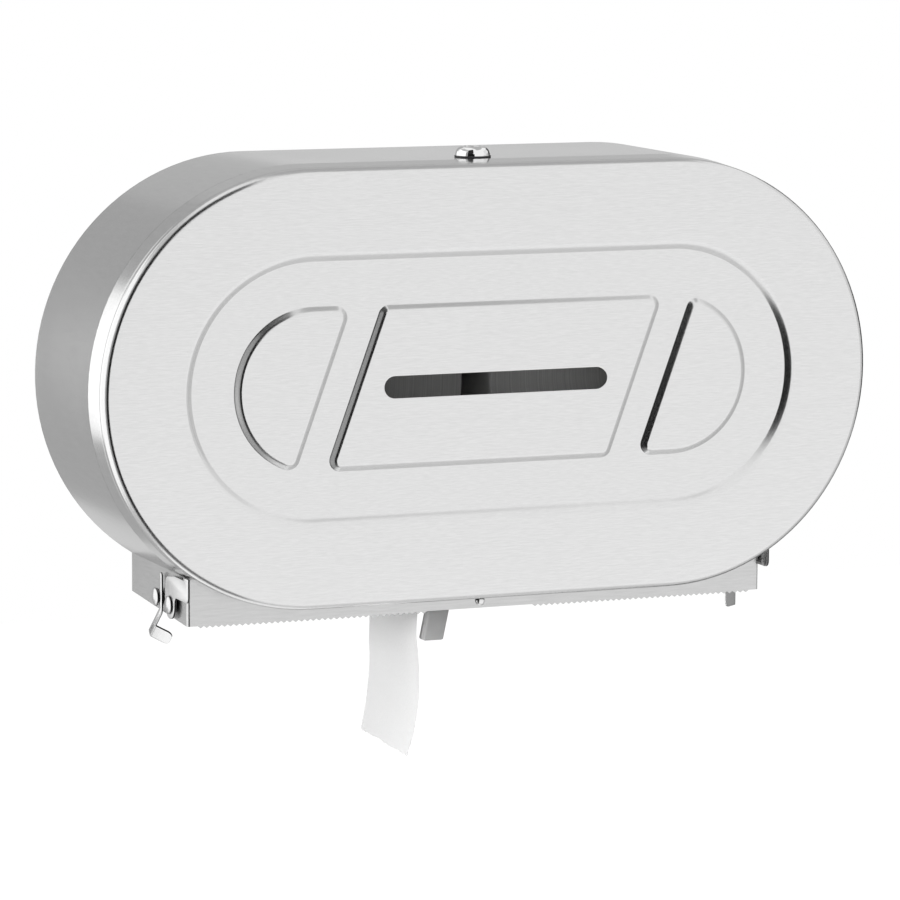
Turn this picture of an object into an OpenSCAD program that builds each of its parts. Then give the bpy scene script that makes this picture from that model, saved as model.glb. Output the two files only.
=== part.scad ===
// Surface-mounted twin jumbo toilet roll dispenser in satin stainless steel.
// Frame: X to the right, Z up, wall plane at Y = 0, front of the cover at Y = -depth.
// The origin lies on the wall, behind the middle of the racetrack outline.
// A "depth" d below is always counted backwards from the front of the cover.

/* [Rolls] */
// Radius of a full roll
roll_r = 115; // [90:1:115]
// Width of the paper
paper_w = 90; // [80:1:95]
// Gap between the two rolls
roll_mid_gap = 18; // [14:1:30]
// Room between a full roll and the inside of the case wall
roll_room = 25; // [22:1:30]
// Room between the tear plate and the rolls' front faces
roll_front_room = 6.7; // [6:0.1:10]
// Room between the rolls' rear faces and the back plate
roll_rear_room = 10.3; // [10:0.1:14]
// Outer radius of the cardboard core
core_r = 30; // [28:0.1:38]
// Wall thickness of the cardboard core
core_t = 1.5; // [1:0.1:2]
// Radius of the spindle's shaft
shaft_r = 7; // [6:0.1:8]
// Radius of the spindle's foot
foot_plate_r = 35; // [32:1:38]
// Thickness of the spindle's foot
foot_plate_t = 3; // [2.5:0.5:3.5]
// Wall thickness of the hub
hub_t = 2.5; // [2:0.1:3]
// Thickness of the paper tail's solid
tail_t = 0.6; // [0.5:0.1:0.8]

/* [Case] */
// Sheet thickness of the case wall
wall_t = 1.0; // [0.8:0.1:1.5]
// Sheet thickness of the back plate
back_t = 1.2; // [1:0.1:2]

/* [Cover] */
// How far back the drawn cover reaches
cover_d = 25; // [22:0.5:28]
// Sheet thickness of the cover
cover_t = 1.0; // [0.8:0.1:1.2]
// Radius of the rounded front edge
cover_fillet = 4.5; // [3.5:0.5:6]
// Widening of the cover's rim from front to back
cover_draft = 1.3; // [0.5:0.1:2]
// Joint between the cover's rim and the case wall
cover_gap = 0.3; // [0.2:0.1:0.6]
// Depth of the bottom rim between the hinge arms, cut back to pass the tear plate
bottom_rim_d = 12; // [10:0.5:12]
// Distance from the end plates to where the bottom rim is cut back
rim_cut_in = 14; // [10:1:16]

/* [Pressed relief] */
// Width of the plain border round the sunk racetrack
border_w = 55.7; // [50:0.1:60]
// Width of the slope round the sunk racetrack
ring_slope = 5; // [4:0.5:6]
// Depth of the pressing
relief_d = 3; // [2:0.5:4]
// Width of the sunk band above and below the raised panels
band_w = 27.8; // [24:0.1:32]
// Distance from a round end's centre in to the end panel's slanted side
end_panel_in = 6; // [3:0.5:10]
// Width of the sunk web between two panels
panel_web = 21; // [16:0.5:26]
// Slant of the panels' sides from the vertical
panel_slant = 20; // [15:1:25]
// Width of the slope round a raised panel
panel_slope = 4; // [3:0.5:5]
// Corner radius of the raised panels
panel_corner = 7; // [6:0.5:9]
// Distance from the viewing slot's ends to the middle panel's sides
slot_side = 20.2; // [18:0.1:30]
// Height of the viewing slot
slot_h = 14.2; // [12:0.2:18]

/* [Tear bracket] */
// How far the end plates stand outside the round ends' centres
bracket_out = 76; // [72:1:80]
// Sheet thickness of the tear bracket
bracket_t = 1.2; // [1:0.1:1.5]
// Outer bend radius of the tear bracket
bracket_bend = 2; // [2:0.1:3]
// Gap between the cover's rim and the tear plate
bracket_gap = 0.6; // [0.5:0.1:1]
// Height of the tear edge below the case
tear_drop = 8.7; // [8:0.1:10]
// Height of the rear end of the end plates' lower edge, below the case
rear_drop = 3; // [2.8:0.1:5]
// How far the tear bracket reaches up inside the case
bracket_rise = 29; // [28:1:32]
// Pitch of the teeth
tooth_pitch = 4; // [3:0.5:6]
// Height of the teeth
tooth_h = 1.4; // [1:0.1:2]
// Plain stretch between the last tooth and the bend
tooth_end = 5; // [4:0.5:12]
// Half width of the plain stretch between the two toothed stretches
plain_half = 37; // [34:1:42]

/* [Hinge and levers] */
// Distance of the cover's hinge axis behind the tear plate
hinge_back = 24.7; // [24:0.1:26]
// Height of the hinge axis above the lowest line of the case
hinge_rise = 1.5; // [1:0.1:2]
// Thickness of the hinge arms
arm_t = 1.5; // [1.2:0.1:1.8]
// Gap between the end plates and the hinge arms or levers
arm_gap = 1.5; // [1.2:0.1:2]
// Gap between the hinge arms' upper edge and the case wall
arm_top_gap = 1.6; // [1.2:0.1:2]
// How far the hinge arms reach forwards under the cover's rim
arm_reach = 9; // [7:0.5:12]
// Corner radius of the hinge arms
arm_corner = 4; // [2:0.5:5]
// Radius of the hinge arm's lug
lug_r = 9; // [8.5:0.1:9.5]
// Distance of the lever pins behind the hinge axis
lever_back = 26.5; // [26:0.1:28]
// Height of the lever pins above the hinge axis
lever_rise = 1; // [0.5:0.1:1.5]
// Thickness of the levers
lever_t = 1.2; // [1:0.1:1.4]
// Width of the lever's strip
lever_w = 3.9; // [3.5:0.1:4.5]
// Distance from the lever's pin to the middle of its strip
lever_reach = 7.7; // [7:0.1:8.5]
// Height of the strip's top above the lever's pin
lever_up = 17; // [14:0.5:18]
// Depth of the strip's bend below the lever's pin
lever_down = 7.5; // [6:0.1:8]
// Lean of the lever's leg
leg_angle = 50.5; // [40:0.5:52]
// Length of the lever's leg
leg_l = 28.8; // [26:0.1:29]
// Distance from the bend to the foot
foot_start = 15.9; // [14:0.1:17]
// Fold of the foot out of the lever's plane
foot_fold = 55; // [50:0.5:70]
// Length of the lever's folded foot
foot_l = 13.7; // [12:0.1:14.5]
// Width of the lever's folded foot
foot_w = 13.3; // [11:0.1:14]
// How far the right lever is swung forwards at rest
lever_right_rest = 50; // [30:1:55]
// Shank radius of the hinge and lever pins
pin_r = 3; // [2.5:0.1:3.5]
// Head radius of the pins
pin_head_r = 5.9; // [5.5:0.1:6.5]
// Head height of the pins
pin_head_h = 2; // [1.5:0.1:2.5]
// Running clearance between a pin or shaft and its bore
run_gap = 0.06; // [0.03:0.01:0.08]
// Side play between a moving plate and a pin's head
side_gap = 0.4; // [0.3:0.1:0.6]

/* [Shutter] */
// Gap left between the shutter's end and the end plate at each end of its travel
shutter_end_gap = 13; // [8:1:20]
// Thickness of the shutter
shutter_t = 1.0; // [0.8:0.1:1.2]
// Height of the shutter's underside above the tear edge
shutter_up = 8.7; // [8.4:0.1:9]
// Gap between the tear plate and the shutter's front flange
shutter_gap = 0.6; // [0.4:0.1:0.8]
// How far the shutter's flange stays above the tear edge
flange_up = 0.6; // [0.5:0.1:1]
// Shank radius of the guide stud
stud_r = 2; // [1.8:0.1:2.2]
// Head radius of the guide stud
stud_head_r = 3.1; // [2.8:0.1:3.4]
// Head height of the guide stud
stud_head_h = 2.4; // [2:0.1:3]
// Distance from the shutter's end to the finger grip
grip_in = 5.5; // [4:0.5:12]
// Width of the shutter's finger grip
grip_w = 14; // [12:0.5:15]
// Depth of the finger grip, front to back
grip_d = 9; // [8:0.5:10]
// Length of the finger grip below the shutter
grip_l = 29; // [26:0.5:29]
// Lean of the finger grip from the vertical
grip_lean = 11.5; // [8:0.5:14]
// Width of the rail's ledge under the shutter
rail_w = 8.5; // [8:0.5:9]

/* [Lock] */
// Distance of the lock's axis behind the cover's rim
lock_back = 17; // [15:0.5:20]
// Radius of the lock's domed head
lock_r = 12.2; // [11.5:0.1:13]
// Height of the lock's domed head
lock_h = 7; // [6:0.5:8]
// Radius of the lock's barrel
barrel_r = 8; // [7.5:0.1:8.5]
// Length of the lock's barrel below the top of the case
barrel_l = 13.5; // [12:0.5:14]
// Radius of the lock's plug
plug_r = 5; // [4.5:0.1:5.5]
// Length of the lock's cam from its axis
cam_l = 24; // [22:0.5:25]
// Width of the lock's cam
cam_w = 10; // [8:0.5:10]
// Thickness of the lock's cam
cam_t = 2.5; // [2:0.1:3]

/* [Wall mounting] */
// How far the wall holes lie outside the round ends' centres
hole_out = 66; // [60:1:70]
// Distance of the wall holes in from the top and bottom of the case
hole_in = 61; // [55:1:66]
// Radius of the wall holes
hole_r = 3.25; // [2.75:0.25:4]

/* [Hidden] */

$fn = 96;
over = 1;                                   // how far a cut runs past what it cuts
seat_gap = 0.3;                             // gap under a piece that slides or lies on another
weld_gap = 0.05;                            // gap at the hinge arms' welds
arc_x = roll_r + roll_mid_gap / 2;          // centre of each round end and of each roll
case_r = roll_r + roll_room + wall_t;       // radius of the racetrack's round ends
wall_d = cover_d + cover_gap;               // front edge of the case wall
plate_d = cover_d + bracket_gap;            // front face of the tear plate
plate_in_d = plate_d + bracket_t;           // back face of the tear plate
roll_d = plate_in_d + roll_front_room;      // front faces of the rolls
roll_back_d = roll_d + paper_w;             // rear faces of the rolls
back_d = roll_back_d + roll_rear_room;      // front face of the back plate
depth = back_d + back_t;                    // from the wall to the front of the cover
tear_z = case_r + tear_drop;                // tear edge, below the middle of the case
bracket_top_z = case_r - bracket_rise;      // upper edge of the tear bracket, below the middle
bracket_rear_z = case_r + rear_drop;        // rear end of the end plates' lower edge
bracket_half = arc_x + bracket_out;         // half width over the end plates
bottom_rim_half = bracket_half - rim_cut_in;// half width of the cut-back bottom rim
tooth_n = floor((bracket_half - bracket_bend - tooth_end - plain_half) / tooth_pitch);
ring_r = case_r - border_w - ring_slope;    // radius of the sunk racetrack at its floor
panel_half_h = ring_r - band_w;             // half height of the panels at the floor
end_panel_x = arc_x - end_panel_in;         // slanted side of each end panel at mid height
panel_half_w = end_panel_x - panel_web;     // half width of the middle panel at mid height
slot_w = 2 * (panel_half_w - slot_side);    // width of the viewing slot
hinge_d = plate_in_d + hinge_back;          // depth of the hinge axis
hinge_z = case_r - hinge_rise;              // hinge axis, below the middle of the case
lever_d = hinge_d + lever_back;             // depth of the lever pins
lever_z = hinge_z - lever_rise;             // lever pins, below the middle of the case
arm_x = bracket_half + arm_gap;             // inner face of the hinge arms and levers
arm_z = sqrt(case_r * case_r - (arm_x - arc_x) * (arm_x - arc_x)) + arm_top_gap;
spindle_x = arc_x;                          // axis of each spindle
spindle_d = roll_d + 4;                     // front end of the hubs
hub_r = core_r - core_t - seat_gap;         // outer radius of the hubs
shutter_x = -plain_half;                    // left end of the shutter at rest
shutter_l = bracket_half - shutter_end_gap - shutter_x;
shutter_travel = bracket_half - shutter_end_gap + shutter_x;
shutter_z = tear_z - shutter_up;            // shutter's underside, below the middle
flange_z = tear_z - flange_up;              // lower edge of the shutter's flange
stud_z = (shutter_z + flange_z) / 2;        // guide stud, below the middle
flange_d = plate_in_d + shutter_gap;        // front face of the shutter's flange
ledge_z = shutter_z + seat_gap;             // top of the rail's ledge, below the middle
grip_z = shutter_z + grip_l;                // lower end of the finger grip
rail_t = bracket_t;                         // sheet thickness of the rail
lock_d = cover_d + lock_back;               // depth of the lock's axis
nut_t = 4.5;                                // height of the lock's nut
nut_r = barrel_r + 3;                       // corner radius of the lock's nut
cam_gap = 0.4;                              // gap between the barrel and the cam
cam_z = case_r - barrel_l - cam_gap - cam_t;// underside of the cam
tail_pin_r = 3;                             // radius of the plug's lower spigot
strike_x = nut_r + 1;                       // inner side of the strike's tongue
strike_w = cam_l - strike_x;                // width of the strike's tongue
strike_t = 1.2;                             // sheet thickness of the strike
strike_z = cam_z + cam_t + 7;               // underside of the strike's tongue
strike_gap = 3;                             // gap between the locked cam and the strike's lip

// Centre line of the paper tail, in X and Z: off the roll, past the shutter's end, then down
tail_exit = [shutter_x - 1.4, -shutter_z];
tail_r = roll_r + seat_gap + tail_t / 2;
tail_from = tail_exit - [-spindle_x, 0];
tail_turn = atan2(tail_from[1], tail_from[0]) + acos(tail_r / norm(tail_from));
tail_drops = [[-1.2, -17], [-1.9, -34], [-1.1, -54], [-2.6, -74], [-5.2, -91], [-8.6, -105]];
tail_path = concat([[-spindle_x, 0] + tail_r * [cos(tail_turn), sin(tail_turn)], tail_exit],
                   [for (p = tail_drops) tail_exit + p]);

function y_at(d) = d - depth;
function arc_pts(c, r, a0, a1, n) =
    [for (i = [0:n]) let (a = a0 + (a1 - a0) * i / n) [c[0] + r * cos(a), c[1] + r * sin(a)]];

// Extrudes an (x, z) outline backwards from depth d0 to depth d1
module extrude_back(d0, d1) {
    translate([0, y_at(d1), 0]) rotate([90, 0, 0]) linear_extrude(d1 - d0) children();
}

// Extrudes a (depth, z) outline across from x0 to x1
module extrude_across(x0, x1) {
    translate([x0, -depth, 0]) rotate([90, 0, 90]) linear_extrude(x1 - x0) children();
}

module rod_back(r, d0, d1, x, z) {
    translate([x, y_at(d1), z]) rotate([90, 0, 0]) cylinder(r = r, h = d1 - d0);
}

module rod_across(r, x0, x1, d, z) {
    translate([x0, y_at(d), z]) rotate([0, 90, 0]) cylinder(r = r, h = x1 - x0);
}

module rod_up(r, z0, z1, d) {
    translate([0, y_at(d), z0]) cylinder(r = r, h = z1 - z0);
}

// Box between two corners given as [x, depth, z]
module box_between(a, b) {
    translate([a[0], y_at(a[1]), a[2]]) cube(b - a);
}

module racetrack(r) {
    for (side = [-1, 1]) translate([side * arc_x, 0]) circle(r);
    square([2 * arc_x, 2 * r], center = true);
}

// Solid swept round the racetrack from a half profile given as [radius, depth] points
module racetrack_solid(profile) {
    half = [for (p = profile) [p[0], -y_at(p[1])]];
    mirrored = [for (i = [len(half) - 1:-1:0]) [-half[i][0], half[i][1]]];
    for (side = [-1, 1])
        translate([side * arc_x, 0, 0]) rotate([90, 0, 0]) rotate_extrude() polygon(half);
    translate([-arc_x, 0, 0]) rotate([0, -90, 180]) linear_extrude(2 * arc_x)
        polygon(concat(half, mirrored));
}

// ---- Fixed case -----------------------------------------------------------------------

module skirt_outline() {
    translate([-bracket_half, -bracket_rear_z]) square([2 * bracket_half, bracket_rear_z - bracket_top_z]);
}

module back_plate() {
    color("silver") difference() {
        extrude_back(back_d, depth) {
            racetrack(case_r);
            skirt_outline();
        }
        for (sx = [-1, 1], sz = [-1, 1])
            rod_back(hole_r, back_d - over, depth + over, sx * (arc_x + hole_out), sz * (case_r - hole_in));
    }
}

module case_wall() {
    color("darkgray") difference() {
        extrude_back(wall_d, back_d) difference() {
            racetrack(case_r);
            racetrack(case_r - wall_t);
        }
        box_between([-bracket_half, wall_d - over, -case_r - over],
                    [bracket_half, back_d + over, -bracket_top_z + over]);
        rod_up(barrel_r, case_r - wall_t - over, case_r + over, lock_d);
    }
}

// Plan of the folded bracket: a U with rounded front corners, in x and depth
module bracket_plan(inset) {
    half = bracket_half - inset;
    r = bracket_bend - inset;
    front = plate_d + inset;
    translate([-half, front + r]) square([2 * half, back_d - front - r + inset]);
    translate([-half + r, front]) square([2 * (half - r), r + over]);
    for (side = [-1, 1]) translate([side * (half - r), front + r]) circle(r);
}

// Region below the toothed edge, in x and z; the teeth run outwards from the plain stretch
module tooth_cut() {
    root = -tear_z;
    tip = -tear_z - tooth_h;
    low = tip - 3 * over;
    wide = bracket_half + over;
    right = [for (i = [0:tooth_n - 1], k = [0, 1])
        [plain_half + (i + k / 2) * tooth_pitch, k == 0 ? root : tip]];
    left = [for (i = [tooth_n - 1:-1:0], k = [1, 0])
        [-plain_half - (i + k / 2) * tooth_pitch, k == 0 ? root : tip]];
    end = plain_half + tooth_n * tooth_pitch;
    polygon(concat([[-wide, low], [-wide, root], [-end, root]], left, right,
                   [[end, root], [wide, root], [wide, low]]));
}

module tear_bracket() {
    color("gainsboro") difference() {
        translate([0, -depth, -tear_z - tooth_h]) linear_extrude(tear_z + tooth_h - bracket_top_z)
            difference() {
                bracket_plan(0);
                bracket_plan(bracket_t);
            }
        extrude_back(plate_d - over, plate_d + bracket_bend + over) tooth_cut();
        extrude_across(-bracket_half - over, bracket_half + over)
            polygon([[plate_d + bracket_bend, -tear_z], [back_d + over, -bracket_rear_z],
                     [back_d + over, -tear_z - 4 * over], [plate_d + bracket_bend, -tear_z - 4 * over]]);
        rod_back(stud_r, plate_d - over, plate_in_d + over, 0, -stud_z);
        for (side = [-1, 1]) {
            x = side * bracket_half;
            rod_across(pin_r, x - 2 * over, x + 2 * over, hinge_d, -hinge_z);
            rod_across(pin_r, x - 2 * over, x + 2 * over, lever_d, -lever_z);
        }
    }
}

// Angle under the shutter's rear edge
module shutter_rail() {
    half = bracket_half - bracket_t;
    up = ledge_z - bracket_top_z - rail_w;
    color("darkgray") extrude_across(-half, half) polygon([
        [back_d - rail_w, -ledge_z], [back_d - rail_t, -ledge_z], [back_d - rail_t, -ledge_z + up],
        [back_d, -ledge_z + up], [back_d, -ledge_z - rail_t], [back_d - rail_w, -ledge_z - rail_t]]);
}

// Stud on which the shutter's slotted flange slides
module guide_stud() {
    r = 1;
    color("silver") {
        rod_back(stud_r, plate_d, flange_d + shutter_t + side_gap + 3, 0, -stud_z);
        translate([0, y_at(plate_d), -stud_z]) rotate([90, 0, 0]) rotate_extrude()
            polygon(concat([[0, 0], [stud_head_r, 0]], arc_pts([stud_head_r - r, stud_head_h - r], r, 0, 90, 4),
                           [[0, stud_head_h]]));
    }
}

module stud_washer() {
    front = flange_d + shutter_t + side_gap;
    color("silver") difference() {
        rod_back(stud_z - shutter_z - flange_up, front, front + 1.2, 0, -stud_z);
        rod_back(stud_r, front - over, front + 1.2 + over, 0, -stud_z);
    }
}

// ---- Cover ----------------------------------------------------------------------------

// Half profile of the pan, inset by a sheet thickness for the inner surface
function cover_profile(inset, back) = concat(
    [[0, back], [case_r - inset, back]],
    arc_pts([case_r - cover_draft - cover_fillet, cover_fillet], cover_fillet - inset, 0, -90, 6),
    [[0, inset]]);

// Rounded outline of the middle panel, drawn in by s
function panel_pts(s) =
    let (h = panel_half_h - s, r = max(panel_corner - s, 2), t = tan(panel_slant), k = r / cos(panel_slant),
         w = panel_half_w - s / cos(panel_slant),
         tr = [w + (h - r) * t - k, h - r], tl = [-w + (h - r) * t + k, h - r])
    concat(arc_pts(tr, r, -panel_slant, 90, 6), arc_pts(tl, r, 90, 180 - panel_slant, 6),
           arc_pts(-tr, r, 180 - panel_slant, 270, 6), arc_pts(-tl, r, 270, 360 - panel_slant, 6));

// Rounded outline of the left end panel, drawn in by s: a half disc with one slanted side
function end_panel_pts(s) =
    let (h = panel_half_h - s, r = max(panel_corner - s, 2), t = tan(panel_slant),
         line = -end_panel_x - s / cos(panel_slant) - r / cos(panel_slant),
         a = line + arc_x, q = 1 + t * t,
         zb = (-a * t - sqrt(a * a * t * t - q * (a * a - (h - r) * (h - r)))) / q,
         low = [line + zb * t, zb], top = [line + (h - r) * t, h - r],
         turn = atan2(zb, low[0] + arc_x))
    concat(arc_pts(low, r, turn, -panel_slant, 6), arc_pts(top, r, -panel_slant, 90, 6),
           arc_pts([-arc_x, 0], h, 90, 360 + turn, 28));

// One raised panel as a block with sloping sides, running past the pressing both ways
module raised_panel(which) {
    extra = 0.2;
    grow = panel_slope * extra;
    deep = relief_d * extra;
    low = which == 0 ? panel_pts(-grow) : end_panel_pts(-grow);
    high = which == 0 ? panel_pts(panel_slope + grow) : end_panel_pts(panel_slope + grow);
    thin = 0.01;
    rotate([0, which == 2 ? 180 : 0, 0]) hull() {
        extrude_back(relief_d + deep - thin, relief_d + deep) polygon(low);
        extrude_back(-deep, -deep + thin) polygon(high);
    }
}

// The pressing: a sunk racetrack with sloping sides, less the three raised panels
module pressing() {
    extra = 0.2;
    widest = ring_r + ring_slope * (1 + extra);
    difference() {
        racetrack_solid([[0, -relief_d * extra], [widest, -relief_d * extra], [ring_r, relief_d], [0, relief_d]]);
        for (which = [0:2]) raised_panel(which);
    }
}

module slot_outline() {
    r = slot_h / 2;
    for (side = [-1, 1]) translate([side * (slot_w / 2 - r), 0]) circle(r);
    square([slot_w - 2 * r, slot_h], center = true);
}

module cover() {
    color("whitesmoke") difference() {
        racetrack_solid(cover_profile(0, cover_d));
        difference() {
            racetrack_solid(cover_profile(cover_t, cover_d + over));
            translate([0, cover_t, 0]) pressing();
        }
        pressing();
        extrude_back(-over, cover_t + relief_d + over) slot_outline();
        box_between([-bottom_rim_half, bottom_rim_d, -case_r - over],
                    [bottom_rim_half, cover_d + over, -bracket_top_z]);
    }
}

// Tongue with a turned-down lip that the lock's cam holds
module cover_strike() {
    lip_d = lock_d + cam_w / 2 + strike_gap;
    low_z = cam_z - 2;
    color("silver") extrude_across(strike_x, strike_x + strike_w) polygon([
        [cover_t, strike_z + strike_t], [lip_d + strike_t, strike_z + strike_t],
        [lip_d + strike_t, low_z], [lip_d, low_z], [lip_d, strike_z], [cover_t + strike_t, strike_z],
        [cover_t + strike_t, low_z], [cover_t, low_z]]);
}

// Arm that carries the cover on its hinge pin; outline in depth and z
module arm_outline() {
    front = cover_d - arm_reach;
    rear = hinge_d + lug_r - 0.5;
    low = -hinge_z + lug_r - 3;
    high = -hinge_z + lug_r + 4.5;
    step = cover_d - seat_gap;
    r = arm_corner;
    difference() {
        union() {
            polygon(concat(
                [[front, -bracket_top_z]], arc_pts([front + r, low + r], r, 180, 270, 4),
                [[hinge_d - lug_r - 2.5, low], [hinge_d - lug_r, low - 2.5], [hinge_d, -hinge_z], [rear, -hinge_z]],
                arc_pts([rear - r, high - r], r, 0, 90, 4),
                [[cover_d + 3, -arm_z], [step, -arm_z], [step, -bracket_top_z]]));
            translate([hinge_d, -hinge_z]) circle(lug_r);
        }
        translate([hinge_d, -hinge_z]) circle(pin_r + run_gap);
    }
}

module hinge_arm(side) {
    color("lightgray") mirror([side > 0 ? 1 : 0, 0, 0]) difference() {
        extrude_across(-arm_x - arm_t, -arm_x) arm_outline();
        rod_back(case_r + weld_gap, 0, cover_d + over, -arc_x, 0);
    }
}

// ---- Pins and levers ------------------------------------------------------------------

// Headed pin through an end plate; plate_t is the thickness of the moving plate on it
module headed_pin(d, z, plate_t) {
    inner = bracket_half - bracket_t - 1;
    seat = arm_x + plate_t + side_gap;
    rod_across(pin_r, inner, seat, d, z);
    rod_across(pin_r + 2, bracket_half, arm_x - seat_gap, d, z);
    rod_across(pin_r + 2, inner - 1, bracket_half - bracket_t, d, z);
    r = pin_head_h - 0.5;
    translate([seat, y_at(d), z]) rotate([0, 90, 0]) rotate_extrude()
        polygon(concat([[0, 0], [pin_head_r, 0]], arc_pts([pin_head_r - r, 0.5], r, 0, 90, 5),
                       [[0, pin_head_h]]));
}

module hinge_pins() {
    color("silver") for (side = [0, 1]) mirror([side, 0, 0]) headed_pin(hinge_d, -hinge_z, arm_t);
}

module lever_pins() {
    color("silver") for (side = [0, 1]) mirror([side, 0, 0]) headed_pin(lever_d, -lever_z, lever_t);
}

// Left lever: a strip hung on its eye, with a leg bent back and a foot folded inwards
lever_strip_d = lever_d - lever_reach;      // middle of the lever's upright strip
lever_top_z = lever_z - lever_up;           // top of the strip, below the middle of the case
lever_bend_z = lever_z + lever_down;        // bend of the strip, below the middle of the case

module lever_plate() {
    w = lever_w / 2;
    difference() {
        union() {
            translate([lever_strip_d - w, -lever_bend_z]) square([lever_w, lever_bend_z - lever_top_z - w]);
            translate([lever_strip_d, -lever_top_z - w]) circle(w);
            translate([lever_strip_d, -lever_bend_z]) circle(w);
            translate([lever_strip_d, -lever_bend_z]) rotate(leg_angle - 90)
                translate([0, -w]) square([leg_l, lever_w]);
            translate([lever_strip_d, -lever_z - pin_r]) square([lever_reach, 2 * pin_r]);
            translate([lever_d, -lever_z]) circle(pin_head_r - side_gap);
        }
        translate([lever_d, -lever_z]) circle(pin_r + run_gap);
    }
}

// The folded foot: a plate with a rounded end, hinged off the leg's front edge
module lever_foot() {
    r = lever_w;
    translate([-arm_x - lever_t, y_at(lever_strip_d), -lever_bend_z]) rotate([leg_angle, 0, 0])
        translate([0, -lever_w / 2 + lever_t, -foot_start]) rotate([0, 0, foot_fold - 90])
            rotate([90, 0, 0]) linear_extrude(lever_t) {
                translate([0, -foot_w]) square([foot_l - r, foot_w]);
                translate([0, -foot_w + r]) square([foot_l, foot_w - 2 * r]);
                for (z = [-r, r - foot_w]) translate([foot_l - r, z]) circle(r);
            }
}

module lever_shape() {
    extrude_across(-arm_x - lever_t, -arm_x) lever_plate();
    lever_foot();
}

module lever_left() {
    color("whitesmoke") lever_shape();
}

module lever_right() {
    color("whitesmoke") translate([0, y_at(lever_d), -lever_z]) rotate([-lever_right_rest, 0, 0])
        translate([0, -y_at(lever_d), lever_z]) mirror([1, 0, 0]) lever_shape();
}

// ---- Lock -----------------------------------------------------------------------------

module lock_body() {
    color("silver") translate([0, y_at(lock_d), 0]) difference() {
        union() {
            translate([0, 0, case_r]) rotate_extrude() polygon(concat(
                [[0, 0], [lock_r, 0]], arc_pts([lock_r - lock_h + 1, 1], lock_h - 1, 0, 90, 8),
                [[0, lock_h]]));
            translate([0, 0, case_r - barrel_l]) cylinder(r = barrel_r, h = barrel_l + over);
        }
        translate([0, 0, case_r - barrel_l - over]) cylinder(r = plug_r + run_gap, h = barrel_l + lock_h + 3 * over);
    }
}

module lock_nut() {
    top = case_r - wall_t;
    color("dimgray") difference() {
        translate([0, y_at(lock_d), top - nut_t]) cylinder(r = nut_r, h = nut_t, $fn = 6);
        rod_up(barrel_r, top - nut_t - over, top + over, lock_d);
    }
}

module lock_plug() {
    top = case_r + lock_h - 0.4;
    color("dimgray") difference() {
        union() {
            rod_up(plug_r, cam_z + cam_t, top, lock_d);
            rod_up(tail_pin_r, cam_z, cam_z + cam_t + over, lock_d);
        }
        box_between([-0.6, lock_d - 3, top - 2.5], [0.6, lock_d + 3, top + over]);
    }
}

module lock_cam() {
    color("silver") difference() {
        translate([0, y_at(lock_d), cam_z]) linear_extrude(cam_t) {
            circle(cam_w / 2 + 1);
            translate([-cam_w / 2, -cam_l + cam_w / 2]) square([cam_w, cam_l - cam_w / 2]);
            translate([0, -cam_l + cam_w / 2]) circle(cam_w / 2);
        }
        rod_up(tail_pin_r, cam_z - over, cam_z + cam_t + over, lock_d);
    }
}

module cam_screw() {
    color("dimgray") rod_up(tail_pin_r + 1.5, cam_z - 1.8, cam_z, lock_d);
}

// ---- Shutter --------------------------------------------------------------------------

module shutter() {
    right = shutter_x + shutter_l;
    slot_r = stud_r + 0.15;
    rear_d = back_d - rail_t - 1.5;
    low = -flange_z;
    top = -shutter_z + shutter_t;
    color("lightgray") difference() {
        union() {
            box_between([shutter_x, flange_d, -shutter_z], [right, rear_d, top]);
            box_between([shutter_x, flange_d, low], [right, flange_d + shutter_t, top]);
        }
        extrude_back(flange_d - over, flange_d + shutter_t + over) {
            for (x = [-0.5, shutter_travel + 0.5]) translate([x, -stud_z]) circle(slot_r);
            translate([-0.5, -stud_z - slot_r]) square([shutter_travel + 1, 2 * slot_r]);
        }
    }
}

// Leaning finger grip under the shutter's left end
module shutter_grip() {
    front = flange_d + shutter_t + 1.5;
    r = 1.5;
    drop = grip_z - shutter_z;
    shift = drop * tan(grip_lean);
    left = shutter_x + grip_in;
    color("gray") extrude_back(front, front + grip_d) polygon(concat(
        [[left, -shutter_z]], arc_pts([left - shift + r, -grip_z + r], r, 180, 270, 4),
        arc_pts([left - shift + grip_w - r, -grip_z + r], r, 270, 360, 4), [[left + grip_w, -shutter_z]]));
}

// ---- Spindles and rolls ---------------------------------------------------------------

module spindle(side) {
    x = side * spindle_x;
    color("silver") difference() {
        union() {
            rod_back(foot_plate_r, back_d - foot_plate_t, back_d, x, 0);
            rod_back(shaft_r, spindle_d - 3, back_d - foot_plate_t + over, x, 0);
        }
        for (a = [45:90:315])
            rod_back(2, back_d - foot_plate_t - over, back_d + over,
                     x + (foot_plate_r - 8) * cos(a), (foot_plate_r - 8) * sin(a));
    }
}

module spindle_left() spindle(-1);
module spindle_right() spindle(1);

// Rivets that hold the spindles' feet to the back plate
module spindle_rivets() {
    front = back_d - foot_plate_t;
    color("gray") for (side = [-1, 1], a = [45:90:315]) {
        x = side * spindle_x + (foot_plate_r - 8) * cos(a);
        z = (foot_plate_r - 8) * sin(a);
        rod_back(2, front, back_d, x, z);
        rod_back(3.5, front - 1, front, x, z);
    }
}

module spindle_caps() {
    color("dimgray") for (side = [-1, 1]) difference() {
        rod_back(shaft_r + 3, spindle_d - 2.4, spindle_d - side_gap, side * spindle_x, 0);
        rod_back(shaft_r, spindle_d - 2.4 - over, spindle_d, side * spindle_x, 0);
    }
}

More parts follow.
